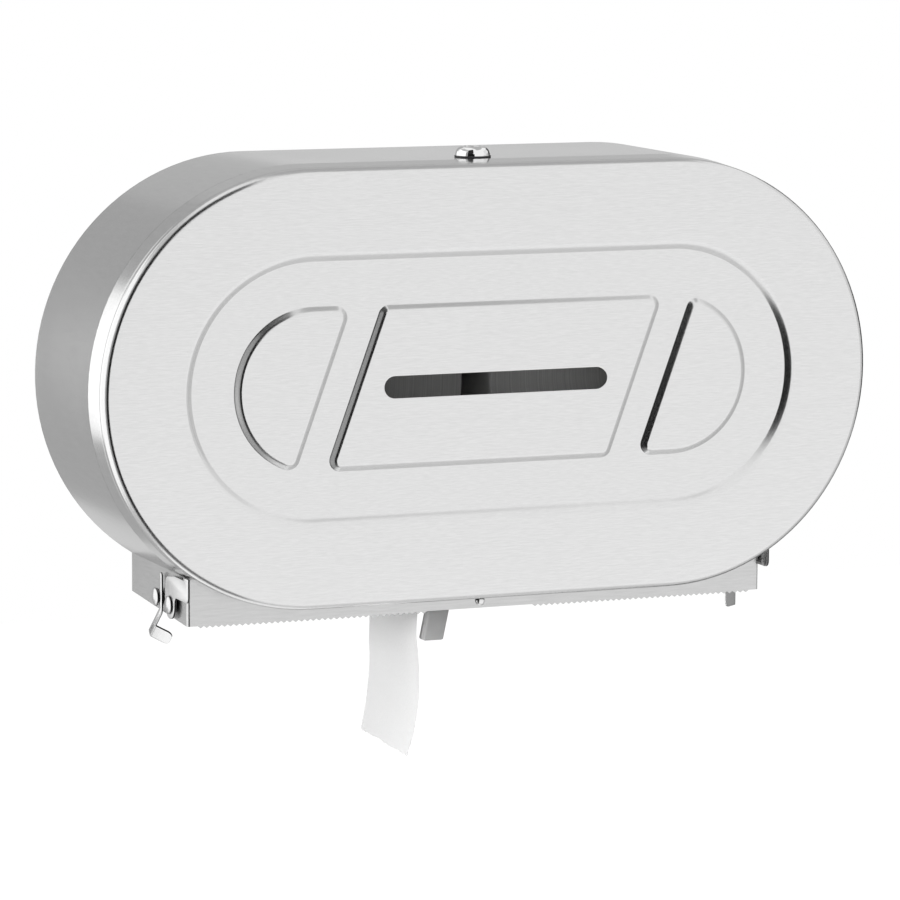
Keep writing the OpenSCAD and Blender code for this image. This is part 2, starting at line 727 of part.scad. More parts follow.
// Drum that carries the core and turns on the spindle
module hub(side) {
    x = side * spindle_x;
    flange_front = roll_back_d + seat_gap;
    rear = back_d - foot_plate_t - 1.6;
    color("dimgray") difference() {
        union() {
            rod_back(hub_r, spindle_d, rear, x, 0);
            rod_back(core_r + 6, flange_front, rear, x, 0);
        }
        rod_back(shaft_r + run_gap, spindle_d - over, rear + over, x, 0);
        difference() {
            rod_back(hub_r - hub_t, spindle_d - over, flange_front, x, 0);
            rod_back(shaft_r + hub_t + 1, spindle_d - 2 * over, flange_front + over, x, 0);
        }
    }
}

module hub_left() hub(-1);
module hub_right() hub(1);

module tube_back(r_out, r_in, side) {
    difference() {
        rod_back(r_out, roll_d, roll_back_d, side * spindle_x, 0);
        rod_back(r_in, roll_d - over, roll_back_d + over, side * spindle_x, 0);
    }
}

module core_left() {
    color("burlywood") tube_back(core_r, core_r - core_t, -1);
}

module core_right() {
    color("burlywood") tube_back(core_r, core_r - core_t, 1);
}

module paper_roll_left() {
    color("white") tube_back(roll_r, core_r, -1);
}

module paper_roll_right() {
    color("white") tube_back(roll_r, core_r, 1);
}

// Sheet drawn off the left roll, past the shutter's end, hanging below the tear edge
module paper_tail() {
    half = tail_t / 2;
    right = [for (p = tail_path) [p[0] + half, p[1]]];
    left = [for (i = [len(tail_path) - 1:-1:0]) [tail_path[i][0] - half, tail_path[i][1]]];
    color("white") extrude_back(roll_d, roll_back_d) polygon(concat(right, left));
}

back_plate();
case_wall();
tear_bracket();
shutter_rail();
guide_stud();
stud_washer();
cover();
cover_strike();
hinge_arm(-1);  // hinge_arm_left
hinge_arm(1);  // hinge_arm_right
hinge_pins();
lever_left();
lever_right();
lever_pins();
lock_body();
lock_nut();
lock_plug();
lock_cam();
cam_screw();
shutter();
shutter_grip();
spindle_left();
spindle_right();
spindle_rivets();
spindle_caps();
hub_left();
hub_right();
core_left();
core_right();
paper_roll_left();
paper_roll_right();
paper_tail();
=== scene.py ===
import bpy
import bmesh
import math
from mathutils import Vector, Matrix, geometry, noise


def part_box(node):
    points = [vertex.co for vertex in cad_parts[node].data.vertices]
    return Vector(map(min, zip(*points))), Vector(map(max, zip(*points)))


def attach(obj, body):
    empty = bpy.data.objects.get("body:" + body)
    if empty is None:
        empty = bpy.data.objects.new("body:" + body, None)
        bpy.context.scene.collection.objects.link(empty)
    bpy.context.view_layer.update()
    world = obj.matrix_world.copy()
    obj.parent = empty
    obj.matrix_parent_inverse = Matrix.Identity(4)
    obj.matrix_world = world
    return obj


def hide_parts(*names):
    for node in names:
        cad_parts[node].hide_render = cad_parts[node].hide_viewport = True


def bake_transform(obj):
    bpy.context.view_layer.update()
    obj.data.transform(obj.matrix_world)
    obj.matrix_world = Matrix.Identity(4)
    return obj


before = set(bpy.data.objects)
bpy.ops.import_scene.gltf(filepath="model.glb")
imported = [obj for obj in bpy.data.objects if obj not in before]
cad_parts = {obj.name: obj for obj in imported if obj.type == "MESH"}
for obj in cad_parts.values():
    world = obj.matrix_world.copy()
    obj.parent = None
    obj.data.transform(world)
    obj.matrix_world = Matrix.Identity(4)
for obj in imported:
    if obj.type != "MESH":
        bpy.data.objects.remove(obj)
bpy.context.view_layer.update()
scene = bpy.context.scene

MM = 0.001
DEPTH = 135.0                  # from the cover's front back to the wall
CASE_R = 141.0                 # radius of the case's round ends
ARC_X = 124.0                  # the round ends and the rolls have their middles this far from x = 0
X_AXIS = Vector((1, 0, 0))
Y_AXIS = Vector((0, 1, 0))
Z_AXIS = Vector((0, 0, 1))


def rad(a):
    return math.radians(a)


def P(x, d, z):
    """A point in metres from x, d and z in mm."""
    return Vector((x * MM, (d - DEPTH) * MM, z * MM))


def add_object(name, data):
    o = bpy.data.objects.new(name, data)
    scene.collection.objects.link(o)
    return o


# ---- camera ---------------------------------------------------------------------------
CAM_YAW, CAM_PITCH, CAM_ROLL = 22.411442, 8.012414, 0.280230
CAM_PLACE = (-1.157944, -2.865117, 0.373922)     # metres
CAM_LENS, CAM_SENSOR = 187.58, 36.0
CAM_FAR = 60.0                                   # metres


def set_camera():
    """The photograph's view: turned to the right, tipped down and rolled slightly."""
    yaw, pitch, roll = rad(CAM_YAW), rad(CAM_PITCH), rad(CAM_ROLL)
    forward = Vector((math.sin(yaw) * math.cos(pitch), math.cos(yaw) * math.cos(pitch), -math.sin(pitch)))
    right = forward.cross(Z_AXIS).normalized()
    up = right.cross(forward)
    right, up = (math.cos(roll) * right + math.sin(roll) * up,
                 -math.sin(roll) * right + math.cos(roll) * up)
    data = bpy.data.cameras.new("camera")
    data.lens, data.sensor_width, data.clip_end = CAM_LENS, CAM_SENSOR, CAM_FAR
    cam = add_object("camera", data)
    place = Matrix((right, up, -forward)).transposed().to_4x4()
    place.translation = Vector(CAM_PLACE)
    cam.matrix_world = place
    scene.camera = cam


set_camera()
scene.view_settings.view_transform = "Standard"


# ---- materials ------------------------------------------------------------------------
class Mat:
    """A procedural material with a Principled shader; add() makes a node and link() joins two."""

    def __init__(self, name, color, metallic, rough):
        self.material = bpy.data.materials.new(name)
        self.material.use_nodes = True
        self.tree = self.material.node_tree
        self.shader = self.tree.nodes["Principled BSDF"]
        self.shader.inputs["Base Color"].default_value = (*color, 1)
        self.shader.inputs["Metallic"].default_value = metallic
        self.shader.inputs["Roughness"].default_value = rough
        coord = self.add("ShaderNodeTexCoord")
        self.place, self.normal = coord.outputs["Object"], coord.outputs["Normal"]

    def add(self, kind, **values):
        n = self.tree.nodes.new(kind)
        for k, v in values.items():
            if k in n.inputs:
                n.inputs[k].default_value = v
            else:
                setattr(n, k, v)
        return n

    def link(self, a, b):
        self.tree.links.new(a, b)

    def calc(self, operation, *values):
        """A Math node on numbers and other nodes' outputs."""
        n = self.add("ShaderNodeMath", operation=operation)
        for socket, value in zip(n.inputs, values):
            if isinstance(value, (int, float)):
                socket.default_value = value
            else:
                self.link(value, socket)
        return n.outputs[0]

    def scaled(self, scale):
        n = self.add("ShaderNodeMapping")
        n.inputs["Scale"].default_value = scale
        self.link(self.place, n.inputs["Vector"])
        return n.outputs["Vector"]

    def noise(self, scale, detail=3.0, rough=0.55):
        n = self.add("ShaderNodeTexNoise", Scale=1.0, Detail=detail, Roughness=rough)
        self.link(self.scaled(scale), n.inputs["Vector"])
        return n.outputs["Fac"]

    def ramp(self, fac, low, high):
        """Spreads the middle half of fac, where noise mostly lies, from low to high."""
        n = self.add("ShaderNodeMapRange")
        n.inputs["From Min"].default_value, n.inputs["From Max"].default_value = 0.25, 0.75
        n.inputs["To Min"].default_value, n.inputs["To Max"].default_value = low, high
        self.link(fac, n.inputs["Value"])
        return n.outputs["Result"]

    def tint(self, fac, dark, light):
        n = self.add("ShaderNodeMix", data_type="RGBA")
        n.inputs[6].default_value, n.inputs[7].default_value = (*dark, 1), (*light, 1)
        self.link(self.ramp(fac, 0, 1), n.inputs[0])
        self.link(n.outputs[2], self.shader.inputs["Base Color"])

    def vary_rough(self, fac, low, high):
        self.link(self.ramp(fac, low, high), self.shader.inputs["Roughness"])

    def bump(self, height, strength, distance):
        n = self.add("ShaderNodeBump", Strength=strength, Distance=distance)
        self.link(height, n.inputs["Height"])
        self.link(n.outputs["Normal"], self.shader.inputs["Normal"])

    def blur_along(self, direction):
        """Spreads reflections up the surface ("Z"), or "round" the case where the sheet wraps it."""
        self.shader.inputs["Anisotropic"].default_value = 0.65
        turn = self.add("ShaderNodeVectorTransform", vector_type="VECTOR",
                        convert_from="OBJECT", convert_to="WORLD")
        if direction == "Z":
            turn.inputs[0].default_value = Z_AXIS
        else:
            cross = self.add("ShaderNodeVectorMath", operation="CROSS_PRODUCT")
            self.link(self.normal, cross.inputs[0])
            # slightly off the Y axis, so that a face square to Y has a direction too
            cross.inputs[1].default_value = (0.03, 1, 0)
            self.link(cross.outputs[0], turn.inputs[0])
        self.link(turn.outputs[0], self.shader.inputs["Tangent"])


def steel(name, grain, tone, rough, spread=0.02, blur=None, fine_share=0.85):
    """Stainless steel. grain is the brushing's scale along X, Y and Z, spread is how far the tone varies,
    and blur is the direction square to the brushing, in which reflections spread."""
    m = Mat(name, (tone, tone, tone), 1.0, rough)
    fine = m.noise(grain, 2.0, 0.6)
    broad = m.noise(tuple(0.06 * g + 4 for g in grain), 2.0)
    smudge = m.noise((9, 9, 9))
    brushing = m.calc("MULTIPLY_ADD", fine, fine_share, m.calc("MULTIPLY", broad, 1 - fine_share))
    m.tint(brushing, (tone - spread,) * 3, (tone + spread,) * 3)
    m.vary_rough(smudge, rough - 0.02, rough + 0.03)
    m.bump(fine, strength=0.02, distance=0.0001)
    if blur:
        m.blur_along(blur)
    return m.material


def steel_with_painted_edge_shade(name, axis, along, across, rough):
    """Punched sheet with a bright face and edges painted dark, told apart by the angle between the surface
    and an axis: the near-black edges and sides are painted shade and painted dark reflection. along is the
    tone where the normal lies along the axis, across where it is square to it."""
    m = Mat(name, (max(along, across),) * 3, 1.0, rough)
    dot = m.add("ShaderNodeVectorMath", operation="DOT_PRODUCT")
    m.link(m.normal, dot.inputs[0])
    dot.inputs[1].default_value = axis
    # painted shade: faces square to the axis get the near-black across tone, as shadow and dark reflection
    m.tint(m.calc("ABSOLUTE", dot.outputs["Value"]), (across,) * 3, (along,) * 3)
    m.bump(m.noise((260, 260, 260), 3.0, 0.6), strength=0.10, distance=0.0002)
    return m.material


def plastic(name, color, rough):
    """Moulded plastic with a fine matt texture."""
    m = Mat(name, color, 0.0, rough)
    fine = m.noise((900, 900, 900))
    m.tint(m.noise((60, 60, 60)), [c * 0.93 for c in color], [min(1, c * 1.06) for c in color])
    m.vary_rough(fine, rough - 0.06, rough + 0.06)
    m.bump(fine, strength=0.15, distance=0.0002)
    return m.material


def card():
    """Cardboard of the cores, its fibres drawn out round the tube."""
    m = Mat("cardboard_fibre", (0.50, 0.36, 0.23), 0.0, 0.85)
    fibre = m.noise((500, 120, 500), 5.0, 0.7)
    m.tint(fibre, (0.42, 0.30, 0.19), (0.58, 0.43, 0.29))
    m.bump(fibre, strength=0.4, distance=0.0003)
    return m.material


def tissue():
    """The hanging sheet: fine fibre with a light emboss."""
    m = Mat("soft_tissue", (0.87, 0.87, 0.87), 0.0, 0.9)
    fibre = m.noise((1500, 1500, 700), 4.0, 0.7)
    emboss = m.add("ShaderNodeTexVoronoi", Scale=1.0)
    m.link(m.scaled((420, 420, 420)), emboss.inputs["Vector"])
    m.tint(fibre, (0.85, 0.85, 0.85), (0.91, 0.91, 0.91))
    m.bump(m.calc("ADD", fibre, emboss.outputs["Distance"]), strength=0.35, distance=0.0003)
    m.shader.inputs["Subsurface Weight"].default_value = 0.15
    m.shader.inputs["Subsurface Radius"].default_value = (0.002, 0.002, 0.002)
    return m.material


def roll_paper():
    """Tissue wound in fine layers: rings on the faces, from the distance to the roll's own axis. Its tones
    are kept well below the hanging sheet's, as painted shade inside the case.
    """
    m = Mat("wound_tissue_painted_shade", (0.70, 0.70, 0.69), 0.0, 0.9)
    place = m.add("ShaderNodeSeparateXYZ")
    m.link(m.place, place.inputs[0])
    offset = m.add("ShaderNodeCombineXYZ")
    m.link(m.calc("SUBTRACT", m.calc("ABSOLUTE", place.outputs["X"]), ARC_X * MM), offset.inputs["X"])
    m.link(place.outputs["Z"], offset.inputs["Z"])
    distance = m.add("ShaderNodeVectorMath", operation="LENGTH")
    m.link(offset.outputs[0], distance.inputs[0])
    layers = m.add("ShaderNodeTexNoise", Scale=1.0, Detail=3.0, noise_dimensions="1D")
    m.link(m.calc("MULTIPLY", distance.outputs["Value"], 900.0), layers.inputs["W"])
    # painted shade: the rings are the paper's own, but their tones are darker than the same tissue outside
    m.tint(layers.outputs["Fac"], (0.52, 0.52, 0.515), (0.66, 0.66, 0.655))
    m.bump(layers.outputs["Fac"], strength=0.3, distance=0.0004)
    return m.material


front_steel = steel("satin_front", (160, 1900, 1900), 0.75, 0.22, 0.036, "Z", fine_share=0.95)
band_steel = steel("satin_band", (300, 60, 300), 0.78, 0.16, 0.03, "round")
wrap_steel = steel("satin_wrap", (300, 60, 300), 0.76, 0.18, 0.02, "round")
plate_steel = steel("satin_plate", (55, 55, 700), 0.61, 0.24, 0.04)
bright_steel = steel("bright_small", (300, 300, 300), 0.80, 0.17, 0.02)
inner_steel = steel("plain_inner", (60, 60, 60), 0.50, 0.45, 0.03)
chrome = steel("polished_chrome", (300, 300, 300), 0.86, 0.05, 0.01)
# painted shade on the arms, pins and levers: their edges and sides are coloured near black
arm_steel = steel_with_painted_edge_shade("punched_arm_painted_edge_shade", (1, 0, 0), 0.80, 0.06, 0.36)
pin_steel = steel_with_painted_edge_shade("turned_pin_painted_side_shade", (1, 0, 0), 0.72, 0.03, 0.22)
lever_left_steel = steel_with_painted_edge_shade("punched_lever_left_painted_edge_shade", (0.92, 0.20, 0.33), 0.80, 0.05, 0.22)
lever_right_steel = steel_with_painted_edge_shade("punched_lever_right_painted_edge_shade", (1, 0, 0), 0.80, 0.10, 0.22)
grip_plastic = plastic("grey_moulded", (0.50, 0.50, 0.50), 0.5)
dark_plastic = plastic("dark_moulded", (0.020, 0.020, 0.022), 0.5)
tissue_mat, roll_mat, card_mat = tissue(), roll_paper(), card()


def paint(obj, *mats):
    obj.data.materials.clear()
    for mat in mats:
        obj.data.materials.append(mat)


# ---- shapes shared by the pieces ----------------------------------------------------------
def apply(obj, kind, **values):
    """Adds a modifier of one kind and keeps its result as the object's mesh."""
    mod = obj.modifiers.new(kind, kind)
    for k, v in values.items():
        setattr(mod, k, v)
    dep = bpy.context.evaluated_depsgraph_get()
    me = bpy.data.meshes.new_from_object(obj.evaluated_get(dep))
    obj.modifiers.clear()
    obj.data = me


def sharpen(obj, angle):
    """Smooth shading with edges sharper than angle kept crisp."""
    for p in obj.data.polygons:
        p.use_smooth = True
    obj.data.set_sharp_from_angle(angle=rad(angle))
    return obj


def weld(me):
    """Joins points that meet and turns the faces outwards."""
    b = bmesh.new()
    b.from_mesh(me)
    bmesh.ops.remove_doubles(b, verts=b.verts, dist=1e-6)
    bmesh.ops.recalc_face_normals(b, faces=b.faces)
    b.to_mesh(me)
    b.free()


def mesh_object(name, verts, faces):
    """A welded mesh from points in metres and lists of point numbers."""
    me = bpy.data.meshes.new(name)
    me.from_pydata([tuple(v) for v in verts], [], faces)
    weld(me)
    return add_object(name, me)


def finish_piece(obj, mat, body, slot, *nodes):
    """Material, body and the CAD nodes that a new piece stands for; slot, the finish slot, is not used."""
    paint(obj, mat)
    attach(obj, body)
    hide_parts(*nodes)


def union(name, parts):
    """One object from several, each a closed solid of its own."""
    with bpy.context.temp_override(active_object=parts[0], selected_editable_objects=parts):
        bpy.ops.object.join()
    parts[0].name = name
    return parts[0]


def grid_quads(rows, columns):
    """Faces of a grid of rows x columns cells, its points numbered row by row."""
    w = columns + 1
    return [(i * w + k, i * w + k + 1, (i + 1) * w + k + 1, (i + 1) * w + k)
            for i in range(rows) for k in range(columns)]


def arc(cx, cz, r, a0, a1, n):
    """Points on an arc from angle a0 to a1, in n steps."""
    return [(cx + r * math.cos(rad(a0 + (a1 - a0) * i / n)), cz + r * math.sin(rad(a0 + (a1 - a0) * i / n)))
            for i in range(n + 1)]


def circle(cx, cz, r):
    return arc(cx, cz, r, 0, 360, 32)[:-1]


def bend_line(points, r, n):
    """A polyline with each inner corner turned into an arc of radius r, in n steps."""
    out = [Vector(points[0])]
    for a, b, c in zip(points, points[1:], points[2:]):
        p, q = (a - b).normalized(), (c - b).normalized()
        half = p.angle(q) / 2
        centre = b + (p + q).normalized() * r / math.sin(half)
        start = b + p * r / math.tan(half) - centre
        end = b + q * r / math.tan(half) - centre
        turn = start.angle(end)
        for i in range(n + 1):
            t = i / n
            spoke = start * math.sin((1 - t) * turn) + end * math.sin(t * turn)
            out.append(centre + spoke / math.sin(turn))
    out.append(Vector(points[-1]))
    return out


def offset_line(line, d):
    """The same line moved sideways by d."""
    out = []
    for i, p in enumerate(line):
        t = (line[min(i + 1, len(line) - 1)] - line[max(i - 1, 0)]).normalized()
        out.append((p.x - t.y * d, p.y + t.x * d))
    return out


def through(points, steps):
    """A smooth line through points, with the same number of steps between each pair."""
    ext = [points[0] * 2 - points[1]] + points + [points[-1] * 2 - points[-2]]
    out = []
    for p0, p1, p2, p3 in zip(ext, ext[1:], ext[2:], ext[3:]):
        m1, m2 = (p2 - p0) * 0.5, (p3 - p1) * 0.5
        for k in range(steps):
            t = k / steps
            out.append(p1 * (2 * t ** 3 - 3 * t ** 2 + 1) + m1 * (t ** 3 - 2 * t ** 2 + t)
                       + p2 * (3 * t ** 2 - 2 * t ** 3) + m2 * (t ** 3 - t ** 2))
    return out + [points[-1]]


def lathe(name, profile, origin, axis, n):
    """Turns a closed half profile of (radius, height) round an axis that starts at origin, in n steps."""
    w = Vector(axis).normalized()
    u = w.orthogonal().normalized()
    v = w.cross(u)
    spokes = [u * math.cos(2 * math.pi * i / n) + v * math.sin(2 * math.pi * i / n) for i in range(n)]
    verts, faces, rings = [], [], []
    for r, h in profile:
        if r < 1e-6:
            rings.append([len(verts)] * n)
            verts.append(origin + w * h * MM)
        else:
            rings.append([len(verts) + i for i in range(n)])
            verts += [origin + (w * h + spoke * r) * MM for spoke in spokes]
    for a, b in zip(rings, rings[1:] + rings[:1]):
        for i in range(n):
            j = (i + 1) % n
            face = list(dict.fromkeys([a[i], a[j], b[j], b[i]]))
            if len(face) > 2:
                faces.append(tuple(face))
    return sharpen(mesh_object(name, verts, faces), 40)


def flat_sheet(name, loops, thick, edge, u_axis, v_axis, origin):
    """A flat piece of sheet with rounded arrises. The first loop is its outline, the others are holes."""
    c = bpy.data.curves.new(name, "CURVE")
    c.dimensions, c.fill_mode = "2D", "BOTH"
    c.extrude = (thick / 2 - edge) * MM
    c.bevel_depth, c.bevel_resolution, c.offset = edge * MM, 2, -edge * MM
    for loop in loops:
        spline = c.splines.new("POLY")
        spline.points.add(len(loop) - 1)
        for p, (x, y) in zip(spline.points, loop):
            p.co = (x * MM, y * MM, 0, 1)
        spline.use_cyclic_u = True
    outline = add_object(name + "_outline", c)
    dep = bpy.context.evaluated_depsgraph_get()
    me = bpy.data.meshes.new_from_object(outline.evaluated_get(dep))
    bpy.data.objects.remove(outline)
    place = Matrix((u_axis, v_axis, u_axis.cross(v_axis))).transposed().to_4x4()
    place.translation = origin
    me.transform(place)
    weld(me)
    me.name = name
    return sharpen(add_object(name, me), 40)


# ---- cover: racetrack pan with the pressed relief -------------------------------------------
COVER_D, COVER_T = 25.0, 1.0
DRAFT = 1.3                    # the drawn flange widens by this much from front to back
FILLET = 4.7                   # the rounded front edge
EDGE_R = CASE_R - DRAFT - FILLET
RIM_D, RIM_HALF = 12.0, 186.0  # the lower flange is cut back to this depth between x = -186 and 186
CREASE_D, CREASE, CREASE_HALF = 6.6, 0.16, 0.45  # place, depth and half width of a fine groove round it
FLANGE_D = (5.4, CREASE_D - CREASE_HALF, CREASE_D, CREASE_D + CREASE_HALF, 9.0, RIM_D, 15.0, 20.0,
            COVER_D)           # depths of the flange's rings of points
RELIEF = 3.0                   # depth of the sunk racetrack, from which the panels rise again
PRESS_X = 0.4                  # the pressed relief sits this far right of the middle
RING_R, RING_SLOPE = 81.0, 6.4  # radius of the sunk racetrack's floor, and width of its slope
PAN_H, PAN_W, PAN_C = 52.6, 98.0, 7.4            # half height, half width and corner radius at the foot
END_X = 117.8                  # the end panels' slanted edges cross mid height here
SLANT = rad(20)                # slant of the panels' upright edges, in radians
PAN_SLOPE = 4.9                # width of the panels' slopes
PAN_IN = 0.1                   # the middle and right panels start this far inside their outlines
PAN_X, LEFT_GROW = 0.4, 0.6    # the middle panel sits this far right, and the left one is this much larger
SLOT_HALF, SLOT_R = 76.8, 7.1  # half length and end radius of the viewing slot
SLOT_EDGE = ((0.9, 0.0), (0.35, 0.0), (0.0, 0.28))  # contours: how far outside the slot, and how deep
FOOT_BEND = 0.07               # share of a pressed slope taken by the tight bend at its foot
RING_STRAIGHT, PAN_STRAIGHT = 0.33, 0.50         # where the even part of a slope ends
STEPS = (-0.1, -0.03, 0.0, 0.035, 0.07, 0.2, 0.35, 0.425, 0.5, 0.575, 0.65, 0.725, 0.8, 0.87, 0.94, 1.0,
         1.08)                 # contours up a slope, as shares of its width
NEAR = 0.02                    # contour points closer than this are one


def racetrack(r, stops=()):
    """Closed outline, anticlockwise from the right end's lowest point. stops adds points at those x on
    the lower arcs."""
    angles = [-90 + 180 * i / 64 for i in range(65)]
    for x in stops:
        c = (x - ARC_X) / r
        if -1 < c < 1:
            angles.append(-math.degrees(math.acos(c)))
    angles = sorted(set(angles))
    right_half = [(ARC_X + r * math.cos(rad(a)), r * math.sin(rad(a))) for a in angles]
    return right_half + [(-x, z) for x, z in reversed(right_half)]


def panel(s):
    """Slanted middle panel, s mm in from its foot."""
    h, r, t = PAN_H - s, max(PAN_C - s, 1.6), math.tan(SLANT)
    k = r / math.cos(SLANT)
    w = PAN_W - s / math.cos(SLANT)
    tr, tl = (w + (h - r) * t - k, h - r), (-w + (h - r) * t + k, h - r)
    g = math.degrees(SLANT)
    return (arc(*tr, r, -g, 90, 8) + arc(*tl, r, 90, 180 - g, 8)
            + arc(-tr[0], -tr[1], r, 180 - g, 270, 8) + arc(-tl[0], -tl[1], r, 270, 360 - g, 8))


def end_panel(s, side):
    """End panel, s mm in from its foot: one slanted edge, two rounded corners and a round outer side.
    The right one is the left one turned half round."""
    h, r, t = PAN_H - s, max(PAN_C - s, 1.6), math.tan(SLANT)
    line = -END_X - s / math.cos(SLANT) - r / math.cos(SLANT)
    a, q = line + ARC_X, 1 + t * t
    zb = (-a * t - math.sqrt(a * a * t * t - q * (a * a - (h - r) ** 2))) / q
    low, top = (line + zb * t, zb), (line + (h - r) * t, h - r)
    turn = math.degrees(math.atan2(zb, low[0] + ARC_X))
    if turn > 0:
        turn -= 360
    g = math.degrees(SLANT)
    pts = (arc(*low, r, turn, -g, 8) + arc(*top, r, -g, 90, 8) + arc(-ARC_X, 0, h, 90, 360 + turn, 48))
    return pts if side < 0 else [(-x, -z) for x, z in pts]


def slot_line(grow):
    """The viewing slot's outline, moved outwards by grow."""
    r, hw = SLOT_R + grow, SLOT_HALF - SLOT_R
    return arc(hw, 0, r, -90, 90, 20) + arc(-hw, 0, r, 90, 270, 20)


def press(t, straight):
    """Profile of a pressed slope, from 0 at its foot to 1 at its top: a tight bend at the foot, an even
    slope up to straight, and a long rounded shoulder."""
    t = min(1.0, max(0.0, t))
    area = FOOT_BEND / 2 + (straight - FOOT_BEND) + (1 - straight) / 2
    rise = min(t, FOOT_BEND) ** 2 / (2 * FOOT_BEND)
    rise += max(0.0, min(t, straight) - FOOT_BEND)
    rise += (max(t, straight) - straight) * (1 - (max(t, straight) - straight) / (2 * (1 - straight)))
    return rise / area


def front_contours():
    """Outlines on the cover's front, each with its depth: the flat's edge, the pressings and the slot."""
    contours = [(racetrack(EDGE_R, stops=(RIM_HALF,)), 0.0)]
    pressed = []
    for t in STEPS:
        pressed.append((racetrack(RING_R + RING_SLOPE * t), RELIEF * (1 - press(t, RING_STRAIGHT))))
    for t in STEPS:
        depth = RELIEF * (1 - press(t, PAN_STRAIGHT))
        pressed.append(([(x + PAN_X, z) for x, z in panel(PAN_SLOPE * t + PAN_IN)], depth))
        pressed.append((end_panel(PAN_SLOPE * t - LEFT_GROW, -1), depth))
        pressed.append((end_panel(PAN_SLOPE * t + PAN_IN, 1), depth))
    contours += [([(x + PRESS_X, z) for x, z in line], depth) for line, depth in pressed]
    contours += [(slot_line(grow), depth) for grow, depth in SLOT_EDGE]
    return contours


def front_face(contours):
    """Points and faces that fill the front between its contours and leave the slot open."""
    points, edges, depths = [], [], []
    for line, depth in contours:
        clean = []
        for p in line:
            if not clean or math.dist(p, clean[-1]) > NEAR:
                clean.append(p)
        if math.dist(clean[0], clean[-1]) <= NEAR:
            clean.pop()
        first, count = len(points), len(clean)
        points += [Vector(p) for p in clean]
        depths += [depth] * count
        edges += [(first + i, first + (i + 1) % count) for i in range(count)]
    flat, _, triangles, sources, _, _ = geometry.delaunay_2d_cdt(points, edges, [], 1, 1e-5, True)
    verts = [P(v.x, depths[source[0]] if source else 0.0, v.y) for v, source in zip(flat, sources)]
    faces = []
    for tri in triangles:
        x = sum(flat[i].x for i in tri) / len(tri)
        z = sum(flat[i].y for i in tri) / len(tri)
        if math.hypot(max(abs(x) - (SLOT_HALF - SLOT_R), 0), z) >= SLOT_R - 0.005:
            faces.append(tuple(tri))
    return verts, faces


def flange_rings():
    """Rings of (x, d, z) round the cover, over its rounded edge and down the drawn flange."""
    profile = [(EDGE_R + FILLET * math.sin(rad(a)), FILLET * (1 - math.cos(rad(a)))) for a in range(0, 91, 9)]
    for d in FLANGE_D:
        groove = CREASE if d == CREASE_D else 0
        profile.append((EDGE_R + FILLET + DRAFT * (d - FILLET) / (COVER_D - FILLET) - groove, d))
    rings = []
    for r, d in profile:
        ring = []
        for x, z in racetrack(EDGE_R, stops=(RIM_HALF,)):
            sx = 1 if x > 0 else -1
            if abs(x) >= ARC_X - 1e-9:
                ux, uz = (x - sx * ARC_X) / EDGE_R, z / EDGE_R
                ring.append((sx * ARC_X + ux * r, d, uz * r))
            else:
                ring.append((x, d, math.copysign(r, z)))
        rings.append(ring)
    return rings


def flange_faces(rings, start):
    """Faces between the rings, whose points are numbered from start, without the part that is cut back."""
    faces = []
    n = len(rings[0])
    for k, ring in enumerate(rings[:-1]):
        for i in range(n):
            j = (i + 1) % n
            (x0, d, z0), (x1, _, z1) = ring[i], ring[j]
            if d >= RIM_D - 1e-6 and z0 + z1 < 0 and abs(x0 + x1) / 2 < RIM_HALF:
                continue
            a, b = start + k * n, start + (k + 1) * n
            faces.append((a + i, a + j, b + j, b + i))
    return faces


def cover_mesh():
    """The cover's outer surface, its faces turned forwards and outwards."""
    verts, faces = front_face(front_contours())
    rings = flange_rings()
    faces += flange_faces(rings, len(verts))
    for ring in rings:
        verts += [P(*p) for p in ring]
    me = bpy.data.meshes.new("cover_skin")
    me.from_pydata([tuple(v) for v in verts], [], faces)
    b = bmesh.new()
    b.from_mesh(me)
    bmesh.ops.remove_doubles(b, verts=b.verts, dist=NEAR * MM)
    bmesh.ops.delete(b, geom=[v for v in b.verts if not v.link_faces], context="VERTS")
    bmesh.ops.recalc_face_normals(b, faces=b.faces)
    if sum(f.normal.y * f.calc_area() for f in b.faces) > 0:
        bmesh.ops.reverse_faces(b, faces=b.faces)
    b.to_mesh(me)
    b.free()
    return me


def build_cover():
    """One sheet, brushed level on its front and round on its flange."""
    cover = add_object("cover_skin", cover_mesh())
    apply(cover, "SOLIDIFY", thickness=COVER_T * MM, offset=-1.0, use_even_offset=True)
    sharpen(cover, 50)
    paint(cover, front_steel, band_steel)
    for p in cover.data.polygons:
        on_flange = p.center.y / MM + DEPTH > FILLET * 0.7 and abs(p.normal.y) < 0.5
        p.material_index = 1 if on_flange else 0
    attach(cover, "front_cover")
    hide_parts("cover")


build_cover()


# ---- hinge arms ---------------------------------------------------------------------------
PLATE_X, PLATE_T = 200.0, 1.2  # outer face and thickness of the end plates
ARM_X, ARM_T, LEVER_T = 201.5, 1.5, 1.2          # inner face and thickness of the arms and levers
HINGE_D, HINGE_Z = 51.5, 139.5                   # pins: how far back, and below the middle
LEVER_D, LEVER_Z = 78.0, 138.5
EYE_R = 3.1                                      # hole for a pin
ARM_ARRIS, LEVER_ARRIS = 0.3, 0.25               # radius of the sheets' rounded edges


def arm_outline():
    """Arm in (d, z): its front part under the cover, the pin's round lug, and a rounded upper rear corner."""
    pts = [(16, -117.9)] + arc(20, -129.5, 4.0, 180, 270, 6)
    pts += [(38.5, -133.5)] + arc(38.5, -137.5, 4.0, 90, 0, 6)[1:-1]
    pts += arc(HINGE_D, -HINGE_Z, 9.0, 180, 360, 28) + arc(53.8, -128.0, 6.5, 0, 90, 8)
    pts += [(42, -119.7), (24.6, -119.7), (24.6, -117.9)]
    return pts


